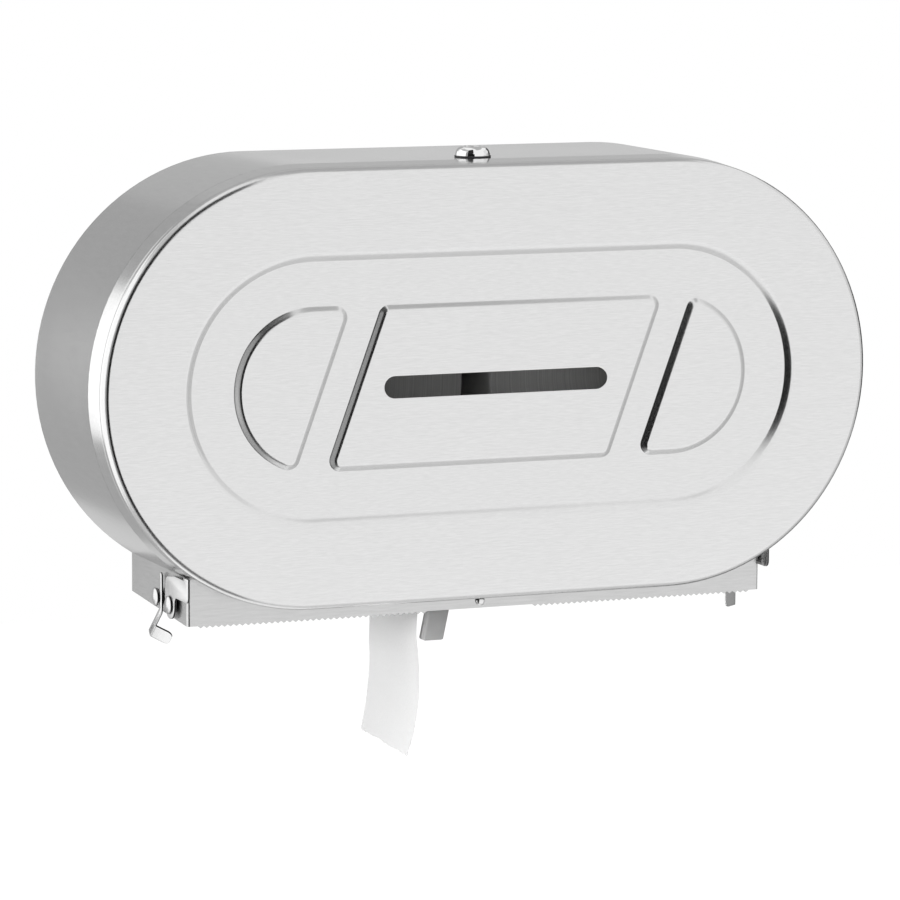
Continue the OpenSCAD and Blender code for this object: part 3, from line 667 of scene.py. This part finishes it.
for side, name in ((-1, "left"), (1, "right")):
    x = side * (ARM_X + ARM_T / 2)
    arm = flat_sheet("arm_plate_" + name, [arm_outline(), circle(HINGE_D, -HINGE_Z, EYE_R)], ARM_T,
                     ARM_ARRIS, Y_AXIS, Z_AXIS, P(x, 0, 0))
    finish_piece(arm, arm_steel, "front_cover", "bright_steel", "hinge_arm_" + name)


# ---- pins with pressed, domed heads -------------------------------------------------------
PIN_R, COLLAR_R, HEAD_R = 3.0, 5.0, 5.9
INNER_COLLAR = 2.0             # height of the collar inside the end plate
HEAD_RIM, HEAD_DOME = 0.5, 1.5                   # heights of the head's straight rim and of its dome
COLLAR_GAP, HEAD_GAP = 0.3, 0.4                  # from the moving plate to the collar, and to the head


def pin(name, side, d, z, plate):
    """Shank, collars on both sides of the end plate, and a domed head outside the moving plate."""
    seat = ARM_X + plate + HEAD_GAP - PLATE_X
    collar = ARM_X - COLLAR_GAP - PLATE_X
    inside = -PLATE_T - INNER_COLLAR
    profile = [(0, inside), (COLLAR_R, inside), (COLLAR_R, -PLATE_T), (PIN_R, -PLATE_T), (PIN_R, 0),
               (COLLAR_R, 0), (COLLAR_R, collar), (PIN_R, collar), (PIN_R, seat), (HEAD_R, seat),
               (HEAD_R, seat + HEAD_RIM)]
    profile += [(HEAD_R * math.cos(rad(a)), seat + HEAD_RIM + HEAD_DOME * math.sin(rad(a)))
                for a in (15, 30, 45, 60, 75)]
    profile += [(0, seat + HEAD_RIM + HEAD_DOME)]
    return lathe(name, profile, P(side * PLATE_X, d, -z), (side, 0, 0), 40)


for node, d, z, plate in (("hinge_pins", HINGE_D, HINGE_Z, ARM_T), ("lever_pins", LEVER_D, LEVER_Z, LEVER_T)):
    pair = union(node + "_domed", [pin(node + str(side), side, d, z, plate) for side in (-1, 1)])
    finish_piece(pair, pin_steel, "case", "bright_steel", node)


# ---- levers: bent from one strip of sheet -------------------------------------------------
STRIP_D, STRIP_W = 70.3, 4.6   # the upright strip's middle line, and its width
TOP_Z, BEND_Z, BEND_R = 121.5, 146.0, 4.5        # its top, and the bend into the leg
LEVER_EYE_R, EYE_OPEN = 5.5, 146.9               # the eye runs from 146.9 to -146.9 degrees
NECK = 3.0                     # the eye leaves the strip this far above and below its middle
LEG_ANGLE, LEG_L = 50.5, 28.8  # the leg's lean from upright, and its length
FOOT_START, FOOT_W, FOOT_R = 15.9, 13.3, 3.9     # place along the leg, width and corner radius
FOOT_FOLD, FOOT_L, FOLD_R = 55.0, 13.7, 1.3      # angle of the fold, length beyond it and its radius
FOOT_ROOT = 1.2                # the foot's sheet starts this far behind the leg's middle line
FOLD_IN = 0.07                 # the fold lies this far inside the leg's front edge
FOLD_SHARE = 1.1               # what the fold takes off the foot's length
FOOT_COLS = 8
RIGHT_SWING = 50.0             # the right lever rests at the other end of the swing


def lever_plate(name):
    """The upright strip with its eye, and the leaning leg."""
    w = STRIP_W / 2
    lean = rad(LEG_ANGLE)
    leg = Vector((math.sin(lean), -math.cos(lean)))
    start, bend = Vector((STRIP_D, -TOP_Z - w)), Vector((STRIP_D, -BEND_Z))
    line = bend_line([start, bend, bend + leg * LEG_L], BEND_R, 8)
    front, rear = offset_line(line, -w), offset_line(line, w)
    top = arc(STRIP_D, -TOP_Z - w, w, 180, 0, 10)[1:-1]
    neck = [rear[0], (STRIP_D + w, -LEVER_Z + NECK)]
    eye = arc(LEVER_D, -LEVER_Z, LEVER_EYE_R, EYE_OPEN, -EYE_OPEN, 24)
    below = [(STRIP_D + w, -LEVER_Z - NECK)] + [p for p in rear if p[1] < -LEVER_Z - NECK]
    outline = front[::-1] + top + neck + eye + below
    return flat_sheet(name, [outline, circle(LEVER_D, -LEVER_Z, EYE_R)], LEVER_T, LEVER_ARRIS,
                      Y_AXIS, Z_AXIS, P(-ARM_X - LEVER_T / 2, 0, 0))


def lever_foot(name):
    """The foot: a strip of sheet whose middle surface folds round the leg's front edge."""
    lean, fold = rad(LEG_ANGLE), rad(FOOT_FOLD)
    out = Vector((math.sin(fold), -math.cos(fold)))
    corner = Vector((LEVER_T / 2, -STRIP_W / 2 + FOLD_IN))
    root = Vector((LEVER_T / 2, FOOT_ROOT))
    path = bend_line([root, corner, corner + out * (FOOT_L - FOLD_SHARE)], FOLD_R, 6)
    run = [0.0]
    for a, b in zip(path, path[1:]):
        run.append(run[-1] + (b - a).length)
    tip, total = path.pop(), run.pop()
    last = total - FOOT_R                        # the tip's corners start here
    for a in (0, 15, 30, 45, 60, 75, 90):
        q = last + FOOT_R * math.sin(rad(a))
        path.append(tip - out * (total - q))
        run.append(q)
    along = Vector((0, math.sin(lean), -math.cos(lean)))
    behind = Vector((0, math.cos(lean), math.sin(lean)))
    base = P(-ARM_X - LEVER_T, STRIP_D, -BEND_Z)
    verts = []
    for p, q in zip(path, run):
        cut = FOOT_R - math.sqrt(max(FOOT_R ** 2 - max(q - last, 0) ** 2, 0))
        for k in range(FOOT_COLS + 1):
            t = FOOT_START + cut + (FOOT_W - 2 * cut) * k / FOOT_COLS
            verts.append(base + (along * t + behind * p.y + X_AXIS * p.x) * MM)
    foot = mesh_object(name + "_foot", verts, grid_quads(len(path) - 1, FOOT_COLS))
    apply(foot, "SOLIDIFY", thickness=LEVER_T * MM, offset=0.0, use_even_offset=True)
    apply(foot, "BEVEL", width=LEVER_ARRIS * MM, segments=3, limit_method="ANGLE", angle_limit=rad(50))
    return sharpen(foot, 45)


def lever(name):
    """A whole lever, in the left one's place."""
    return union(name, [lever_plate(name), lever_foot(name)])


left = lever("lever_bent_left")
right = lever("lever_bent_right")
pivot = P(0, LEVER_D, -LEVER_Z)
right.data.transform(Matrix.Translation(pivot) @ Matrix.Rotation(rad(-RIGHT_SWING), 4, "X")
                     @ Matrix.Translation(-pivot) @ Matrix.Diagonal((-1, 1, 1, 1)))
right.data.flip_normals()
finish_piece(left, lever_left_steel, "left_lever", "bright_steel", "lever_left")
finish_piece(right, lever_right_steel, "right_lever", "bright_steel", "lever_right")


# ---- lock: the polished head with its barrel, and a near-black seal under it that paints its shadow line ---
LOCK_D, LOCK_R, LOCK_H = 42.0, 11.4, 7.0         # place, radius and height of the head
LOCK_RIM = 1.2                 # height of the head's upright rim
BARREL_R, BARREL_L = 8.0, 13.5
PLUG_R = 5.0
CROWN_R = PLUG_R + 2.2         # the dome is flat inside this radius
BORE_R = PLUG_R + 0.1
lock_top = P(0, LOCK_D, CASE_R)


def lock_head():
    """Domed head and barrel in one, bored for the plug."""
    profile = [(LOCK_R - 0.5, 0.05), (LOCK_R, 0.4), (LOCK_R, LOCK_RIM)]
    profile += [(CROWN_R + (LOCK_R - CROWN_R) * math.cos(rad(a)),
                 LOCK_RIM + (LOCK_H - LOCK_RIM) * math.sin(rad(a))) for a in range(9, 91, 9)]
    profile += [(PLUG_R + 0.75, LOCK_H), (PLUG_R + 0.35, LOCK_H - 0.15), (BORE_R, LOCK_H - 0.5)]
    profile += [(BORE_R, -BARREL_L), (BARREL_R, -BARREL_L), (BARREL_R, -0.6), (BARREL_R, 0.05)]
    return lathe("lock_head", profile, lock_top, Z_AXIS, 64)


def lock_seal_shadow_ring():
    """Flat ring between the case and the head, a little wider than the head: a seal, near black so that it
    also paints the shadow line under the head.
    """
    profile = [(BARREL_R + 0.1, 0.02), (LOCK_R, 0.02), (LOCK_R + 0.35, 0.15), (LOCK_R + 0.35, 1.0),
               (LOCK_R, 1.15), (BARREL_R + 0.1, 0.9)]
    return lathe("lock_seal_shadow_ring", profile, lock_top, Z_AXIS, 64)


finish_piece(lock_head(), chrome, "case", "polished_chrome", "lock_body")
head_shadow_ring = lock_seal_shadow_ring()
# painted shadow: the seal's near-black plastic draws the dark line under the lock's head
paint(head_shadow_ring, dark_plastic)
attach(head_shadow_ring, "case")


# ---- guide stud ---------------------------------------------------------------------------
TEAR_D = 25.6                  # the tear plate's front face
STUD_Z, STUD_R, STUD_L = 145.05, 2.0, 8.5        # below the middle; the shank's radius and length
STUD_HEAD_R, STUD_HEAD_H, STUD_RIM = 3.1, 2.4, 0.7


def guide_stud():
    """Shank behind the tear plate, and a small dome in front of it."""
    profile = [(0, -STUD_L), (STUD_R, -STUD_L), (STUD_R, 0.0), (STUD_HEAD_R, 0.0), (STUD_HEAD_R, STUD_RIM)]
    profile += [(STUD_HEAD_R * math.cos(rad(a)), STUD_RIM + (STUD_HEAD_H - STUD_RIM) * math.sin(rad(a)))
                for a in (15, 30, 45, 60, 75)]
    profile += [(0, STUD_HEAD_H)]
    return lathe("guide_stud_domed", profile, P(0, TEAR_D, -STUD_Z), (0, -1, 0), 40)


finish_piece(guide_stud(), bright_steel, "case", "bright_steel", "guide_stud")


# ---- finger grip: a moulded block with rounded edges ----------------------------------------
SHUTTER_X, SHUTTER_Z = -37.0, 141.0              # the shutter's left end and underside at rest
GRIP_IN, GRIP_W = 5.5, 14.0    # the grip starts this far inside that end, and is this wide
GRIP_LEAN, GRIP_R, GRIP_ARRIS = 11.5, 1.5, 1.1   # lean to the left, and radii of the corners and edges


def finger_grip():
    """As deep as its CAD solid, and leaning to the left as it goes down."""
    low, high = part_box("shutter_grip")
    d0, d1, bottom = low.y / MM + DEPTH, high.y / MM + DEPTH, low.z / MM
    shift = (-bottom - SHUTTER_Z) * math.tan(rad(GRIP_LEAN))
    x0 = SHUTTER_X + GRIP_IN
    outline = ([(x0, -SHUTTER_Z)] + arc(x0 - shift + 1.6, bottom + GRIP_R, GRIP_R, 190, 270, 6)
               + arc(x0 - shift + GRIP_W - GRIP_R, bottom + GRIP_R, GRIP_R, 270, 350, 6)
               + [(x0 + GRIP_W, -SHUTTER_Z)])
    return flat_sheet("finger_grip", [outline], d1 - d0, GRIP_ARRIS, X_AXIS, Z_AXIS,
                      P(0, (d0 + d1) / 2, 0))


finish_piece(finger_grip(), grip_plastic, "sliding_shutter", "grey_plastic", "shutter_grip")


# ---- paper: wound rolls and the hanging sheet -----------------------------------------------
ROLL_R, CORE_R = 115.0, 30.0
ROLL_D0, ROLL_D1 = 33.5, 123.5                   # front and rear faces of the rolls' CAD solids
WIND_IN = 0.3                  # the winding stays this far inside its CAD solid, all round
FACE_IN = 0.5                  # and its faces this far
ROLL_EDGE = 2.0                # radius of the roll's soft edges
FACE_RIPPLE, LAYER_RIPPLE = 0.28, 0.16           # broad and fine ripples of the faces
OUTSIDE = 0.8                  # beyond this share of its radius, the roll is slightly out of round


def roll_profile(seed):
    """Half profile of a roll: a rippled face, a soft edge, the outside, and the same face at the rear."""
    def ripple(r):
        return (FACE_RIPPLE * noise.noise(Vector((r * 0.21, seed, 0)))
                + LAYER_RIPPLE * noise.noise(Vector((r * 0.9, seed, 3))))

    width = ROLL_D1 - ROLL_D0
    inner = CORE_R + WIND_IN
    radii = [inner + (ROLL_R - ROLL_EDGE - inner) * i / 34 for i in range(35)]
    face = [(r, FACE_IN + ripple(r)) for r in radii]
    face += [(ROLL_R - WIND_IN - ROLL_EDGE + ROLL_EDGE * math.sin(rad(a)),
              FACE_IN + ROLL_EDGE * (1 - math.cos(rad(a)))) for a in range(15, 91, 15)]
    outside = [(ROLL_R - WIND_IN, width * k / 12) for k in range(1, 12)]
    return face + outside + [(r, width - h) for r, h in face[::-1]]


def wound_roll(name, side, seed):
    """A roll with soft edges, faces that ripple with the winding, and a slightly uneven outside."""
    o = lathe(name, roll_profile(seed), P(side * ARC_X, ROLL_D0, 0), (0, 1, 0), 160)
    middle = side * ARC_X * MM
    for v in o.data.vertices:
        a = math.atan2(v.co.z, v.co.x - middle)
        r = math.hypot(v.co.z, v.co.x - middle)
        if r > OUTSIDE * ROLL_R * MM:
            k = 1 - 0.0016 * (1 + noise.noise(Vector((math.cos(a) * 2, math.sin(a) * 2, v.co.y * 30 + seed))))
            v.co.x = middle + (v.co.x - middle) * k
            v.co.z *= k
        v.co.y += 0.00022 * noise.noise(Vector((math.cos(a) * r * 40, math.sin(a) * r * 40, seed)))
    return sharpen(o, 60)


for side, name, seed in ((-1, "left", 1.7), (1, "right", 8.3)):
    o = wound_roll("wound_roll_" + name, side, seed)
    finish_piece(o, roll_mat, name + "_roll", "tissue", "paper_roll_" + name)


TAIL_T = 0.25
TAIL_IN = 0.4                  # the sheet is narrower than the roll's solid by this much at each side
TAIL_W = ROLL_D1 - ROLL_D0 - 2 * TAIL_IN
TAIL_GAP = 0.45                # its middle surface leaves the roll this far outside ROLL_R
TAIL_RIPPLE, TAIL_CURL = 0.5, 0.45
TAIL_COLS, TAIL_STEPS = 60, 8
RUN_STEPS = 60                 # steps from the roll to the shutter's end
EXIT = Vector((SHUTTER_X - 1.4, -SHUTTER_Z))     # where the sheet bends down, in (x, z)
FRONT_EDGE = [(-1.6, -9), (-2.6, -25), (-1.4, -36), (-0.4, -52), (-0.9, -70), (-3.8, -89), (-8.4, -104.5)]
REAR_EDGE = [(-0.3, -12), (0.2, -28), (-0.1, -43), (0.4, -58), (-0.8, -74), (-2.9, -90), (-5.6, -104)]


def tail_edges():
    """The sheet's front and rear edges in (x, z), from where it leaves the left roll to its torn end."""
    r = ROLL_R + TAIL_GAP
    centre = Vector((-ARC_X, 0))
    d = EXIT - centre
    turn = math.atan2(d.y, d.x) + math.acos(r / d.length)
    start = centre + Vector((math.cos(turn), math.sin(turn))) * r
    straight = [start.lerp(EXIT, k / RUN_STEPS) for k in range(RUN_STEPS)]
    return [straight + through([EXIT] + [EXIT + Vector(p) for p in edge], TAIL_STEPS)
            for edge in (FRONT_EDGE, REAR_EDGE)]


def tail_sheet(front, rear):
    """The sheet between its edges, with a slight ripple, curled sides and a torn lower edge."""
    rows = len(front)
    verts = []
    for i in range(rows):
        hang = max(0.0, (i - RUN_STEPS) / (rows - RUN_STEPS - 1))
        for k in range(TAIL_COLS + 1):
            u = k / TAIL_COLS
            p = front[i].lerp(rear[i], u * u * (3 - 2 * u))
            ripple = TAIL_RIPPLE * hang * noise.noise(Vector((u * 4.0, hang * 2.2, 5.1)))
            curl = TAIL_CURL * hang * (math.exp(-u * 18) + math.exp(-(1 - u) * 18))
            tear = 0.0
            if i == rows - 1:
                tear = 0.7 * noise.noise(Vector((u * 7, 2, 0))) + 0.3 * noise.noise(Vector((u * 31, 7, 0)))
            verts.append(P(p.x + ripple - curl, ROLL_D0 + TAIL_IN + u * TAIL_W, p.y + tear))
    o = mesh_object("hanging_sheet", verts, grid_quads(rows - 1, TAIL_COLS))
    apply(o, "SOLIDIFY", thickness=TAIL_T * MM, offset=0.0)
    return sharpen(o, 60)


tail_front, tail_rear = tail_edges()
tail = tail_sheet(tail_front, tail_rear)
paint(tail, tissue_mat)
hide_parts("paper_tail")
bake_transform(tail)


# ---- carried-over nodes -------------------------------------------------------------------
for node, mat in {
        "back_plate": plate_steel,
        "case_wall": wrap_steel,
        "tear_bracket": plate_steel,
        "shutter": plate_steel,
        "shutter_rail": inner_steel,
        "stud_washer": bright_steel,
        "cover_strike": inner_steel,
        "lock_nut": bright_steel,
        "lock_plug": chrome,
        "lock_cam": bright_steel,
        "cam_screw": bright_steel,
        "spindle_left": bright_steel,
        "spindle_right": bright_steel,
        "spindle_rivets": bright_steel,
        "spindle_caps": dark_plastic,
        "hub_left": dark_plastic,
        "hub_right": dark_plastic,
        "core_left": card_mat,
        "core_right": card_mat}.items():
    paint(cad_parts[node], mat)


# ---- stage: floor, world, lamps and the grey surroundings that the metal shows --------------
FLOOR_Z, FLOOR_HALF = -2.4, 12.0                 # metres
FLOOR_TONE = 0.9
FLOOR_LIGHT = 1.10             # brightness that rays see on the floor
FLOOR_GLOW = 0.93              # share of it in what they see; the rest is lit, and keeps the shadow
WORLD_LIGHT = 0.45             # what the world adds to surfaces; as a background it is 1, plain white
FAR = 2.5                      # metres to the backdrops
PATCH = 12                     # cells along each side of a backdrop


def around(az, el, dist):
    """A point seen from the object at an azimuth left of straight ahead, and an elevation."""
    a, e = rad(az), rad(el)
    return Vector((-math.sin(a) * math.cos(e), -math.cos(a) * math.cos(e), math.sin(e))) * dist


def glowing(name, points, rows, columns, tone):
    """A grey screen, given by a grid of points, which only reflections see."""
    mat = bpy.data.materials.new(name)
    mat.use_nodes = True
    t = mat.node_tree
    t.nodes.remove(t.nodes["Principled BSDF"])
    e = t.nodes.new("ShaderNodeEmission")
    e.inputs["Color"].default_value = (1, 1, 1, 1)
    e.inputs["Strength"].default_value = tone
    t.links.new(e.outputs[0], t.nodes["Material Output"].inputs["Surface"])
    me = bpy.data.meshes.new(name)
    me.from_pydata([tuple(v) for v in points], [], grid_quads(rows, columns))
    me.materials.append(mat)
    o = add_object(name, me)
    o.visible_camera = o.visible_diffuse = o.visible_shadow = o.visible_transmission = False


def backdrop(name, az0, az1, el0, el1, tone):
    """A screen on a sphere round the object, between two azimuths and two elevations."""
    points = [around(az0 + (az1 - az0) * i / PATCH, el0 + (el1 - el0) * j / PATCH, FAR)
              for j in range(PATCH + 1) for i in range(PATCH + 1)]
    glowing(name, points, PATCH, PATCH, tone)


def screen(name, a, b, z0, z1, tone):
    """An upright flat screen between two points of the floor plan and two heights, in metres."""
    glowing(name, [Vector((*a, z0)), Vector((*b, z0)), Vector((*a, z1)), Vector((*b, z1))], 1, 1, tone)


def seen_rays(tree):
    """1 for rays that show the background: camera, glossy and transmission rays."""
    path = tree.nodes.new("ShaderNodeLightPath")
    value = path.outputs["Is Camera Ray"]
    for kind in ("Is Glossy Ray", "Is Transmission Ray"):
        most = tree.nodes.new("ShaderNodeMath")
        most.operation = "MAXIMUM"
        tree.links.new(value, most.inputs[0])
        tree.links.new(path.outputs[kind], most.inputs[1])
        value = most.outputs[0]
    return value


def between(tree, fac, low, high):
    """A value that goes from low to high as fac goes from 0 to 1."""
    n = tree.nodes.new("ShaderNodeMapRange")
    n.inputs["To Min"].default_value, n.inputs["To Max"].default_value = low, high
    tree.links.new(fac, n.inputs["Value"])
    return n.outputs["Result"]


def floor_material():
    """Pale and matt where light falls on it, and nearly white for rays that show the background."""
    mat = bpy.data.materials.new("floor_pale")
    mat.use_nodes = True
    t = mat.node_tree
    matt = t.nodes["Principled BSDF"]
    matt.inputs["Base Color"].default_value = (FLOOR_TONE, FLOOR_TONE, FLOOR_TONE, 1)
    matt.inputs["Roughness"].default_value = 0.9
    matt.inputs["Specular IOR Level"].default_value = 0.0
    glow = t.nodes.new("ShaderNodeEmission")
    glow.inputs["Strength"].default_value = FLOOR_LIGHT
    mix = t.nodes.new("ShaderNodeMixShader")
    t.links.new(between(t, seen_rays(t), 0.0, FLOOR_GLOW), mix.inputs[0])
    t.links.new(matt.outputs[0], mix.inputs[1])
    t.links.new(glow.outputs[0], mix.inputs[2])
    t.links.new(mix.outputs[0], t.nodes["Material Output"].inputs["Surface"])
    return mat


def make_floor():
    h = FLOOR_HALF
    me = bpy.data.meshes.new("floor")
    me.from_pydata([(-h, -h, 0), (h, -h, 0), (h, h, 0), (-h, h, 0)], [], [(0, 1, 2, 3)])
    floor = add_object("floor", me)
    floor.location = (0, 0, FLOOR_Z)
    me.materials.append(floor_material())


def make_world():
    """Soft light from all round, and plain white where the background shows."""
    world = bpy.data.worlds.new("studio")
    scene.world = world
    world.use_nodes = True
    t = world.node_tree
    back = t.nodes["Background"]
    back.inputs["Color"].default_value = (1, 1, 1, 1)
    t.links.new(between(t, seen_rays(t), WORLD_LIGHT, 1.0), back.inputs["Strength"])


def lamp(name, az, el, dist, size, power):
    """A round area lamp that faces the object, dist and size in metres, which no reflection shows."""
    d = bpy.data.lights.new(name, "AREA")
    d.shape, d.size, d.energy = "DISK", size, power
    o = add_object(name, d)
    c = around(az, el, dist)
    o.matrix_world = Matrix.Translation(c) @ c.to_track_quat("Z", "Y").to_matrix().to_4x4()
    o.visible_glossy = o.visible_camera = False


make_floor()
make_world()
lamp("key", 50, 35, 2.6, 1.4, 16)
lamp("side", 72, 2, 2.6, 0.9, 33)
lamp("fill", -40, 42, 2.8, 2.0, 36)

# What the steel mirrors: parts of a far sphere, as name, azimuths, elevations and tone, and near screens.
for patch in (
        ("bright_left", 62, 135, -38, 40, 1.30),
        ("bright_left_back", 135, 151.5, -16, 19, 1.35),
        ("grey_left_high", 40, 135, 40, 60, 0.58),
        ("grey_left_low", 62, 151.5, -58, -38, 0.58),
        ("grey_low_front_left", -10, 62, -68, -52, 0.62),
        ("bright_below_left", 100, 160, -82, -58, 1.25),
        ("grey_rim_low", 135, 151.5, -38, -16, 0.60),
        ("grey_rim_high", 135, 151.5, 19, 50, 0.80),
        ("grey_left_back", 151.5, 176, -50, 50, 0.42),
        ("pale_spot_back", 176, 189, -28, -12, 0.66),
        ("grey_mid_back", 176, 190, -12, 12, 0.55),
        ("grey_high_back", 176, 240, 12, 60, 0.50),
        ("pale_back", 190, 240, -2, 12, 0.64),
        ("grey_low_back", 189, 240, -66, -2, 0.46),
        ("grey_back_floor", 151.5, 189, -66, -28, 0.50),
        ("dark_right_back", 234, 256, -62, 34, 0.04),
        ("grey_right", 256, 282, -62, 12, 0.55),
        ("pale_right", 282, 308, -62, 8, 0.72),
        ("pale_right_high", 256, 300, 12, 36, 0.84),
        ("grey_front_low", 270, 350, -75, -46, 0.74),
        ("grey_low_right", 256, 270, -75, -62, 0.62),
        ("grey_overhead", 180, 345, 55, 90, 0.50)):
    backdrop(*patch)
screen("dark_front_left", (-0.45, -0.41), (-0.265, -1.70), -0.85, 0.50, 0.010)
screen("grey_front_left", (-0.475, -0.28), (-0.45, -0.41), -0.85, 0.50, 0.38)
screen("dark_high_left", (-0.65, -0.50), (-0.12, -0.50), 0.30, 1.20, 0.03)
screen("grey_below_left", (-0.55, -0.50), (-0.10, -0.50), -1.30, -0.40, 0.20)
screen("dark_right", (1.0, -0.12), (1.0, 0.60), -0.22, 0.14, 0.01)
screen("dark_edge_right", (1.0, 0.12), (0.97, 0.34), -0.80, 0.35, 0.02)
